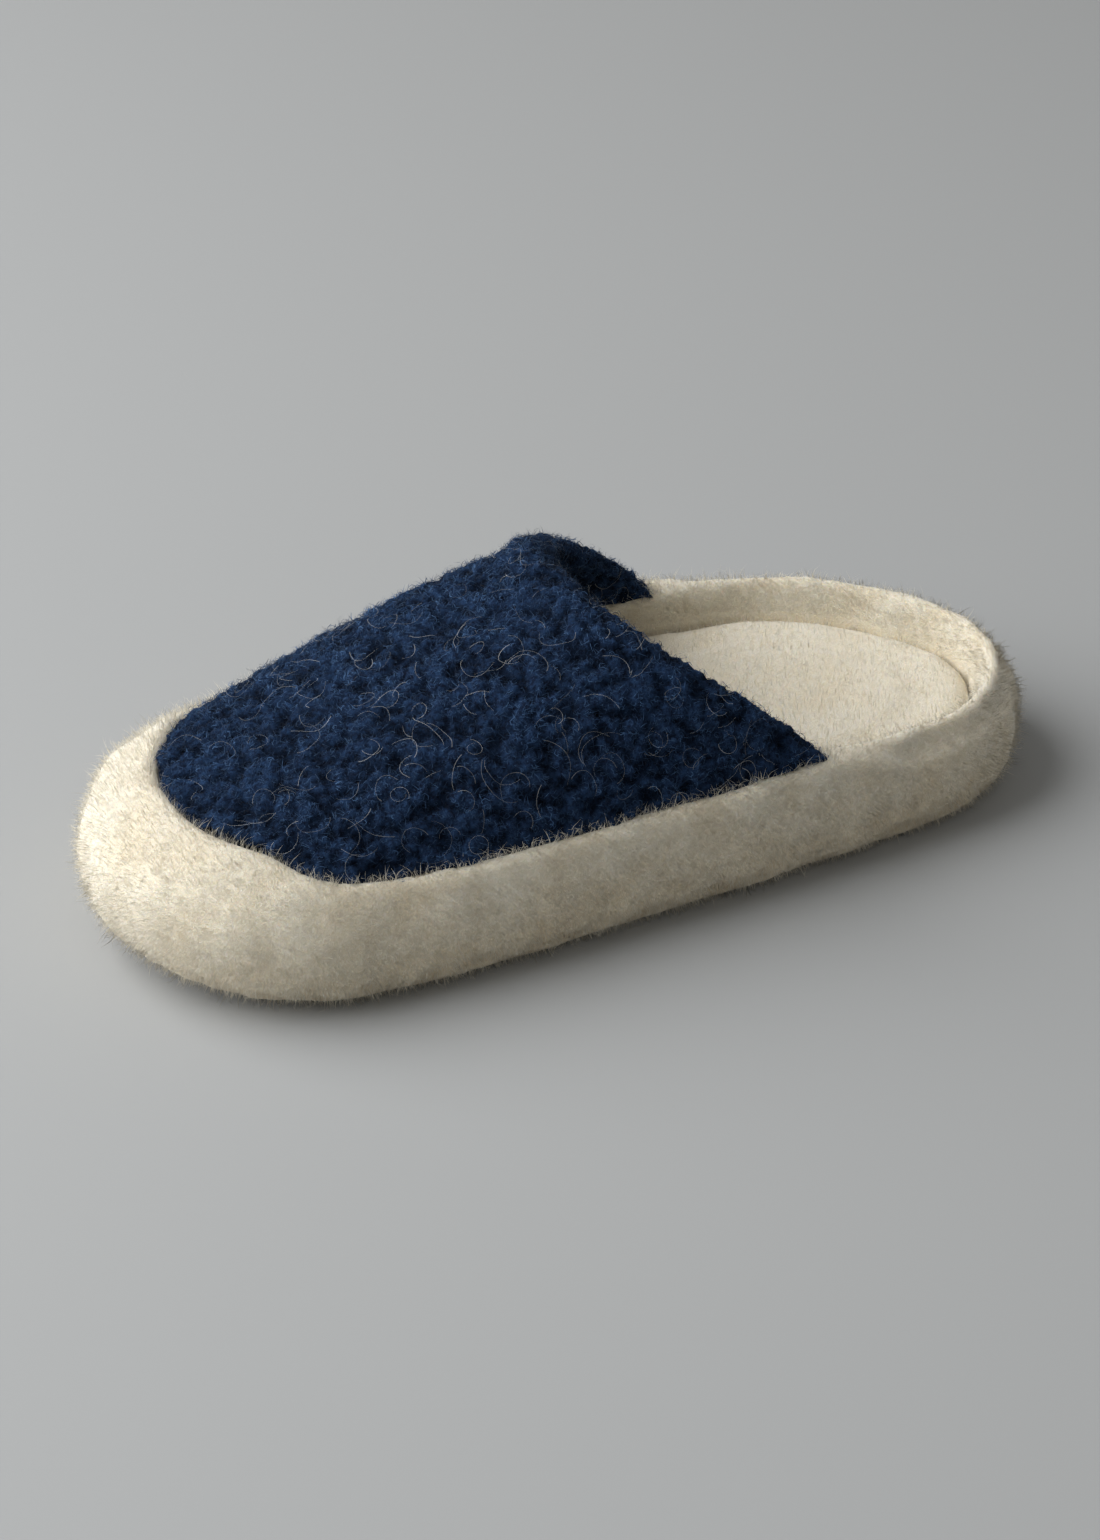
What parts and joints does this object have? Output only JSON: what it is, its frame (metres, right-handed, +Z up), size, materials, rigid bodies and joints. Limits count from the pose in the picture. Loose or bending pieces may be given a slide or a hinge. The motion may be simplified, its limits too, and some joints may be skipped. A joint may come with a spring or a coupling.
{
  "type": "slipper",
  "caption": "Backless wool slipper: rounded curly-wool vamp over a thick cream fleece band that wraps the toe and sole, padded footbed, thin embossed dark sole.",
  "frame": {"origin": "on the floor, under the middle of the slipper's outer box", "axes": "+X toward the toe, +Y toward the inner (big toe) side of a right foot, +Z up"},
  "size_m": [0.2825, 0.1325, 0.0796],
  "materials": {
    "sole_sheet": "matt, embossed with a scale pattern",
    "cream_fleece": "dense brushed fleece",
    "footbed_fleece": "dense brushed fleece, pressed flatter",
    "curly_wool": "curly boucle wool with a few pale hairs"
  },
  "bodies": {
    "root": {"outsole": "sole_sheet", "fleece_band": "cream_fleece", "insole": "footbed_fleece", "upper": "curly_wool"}
  },
  "joints": []
}
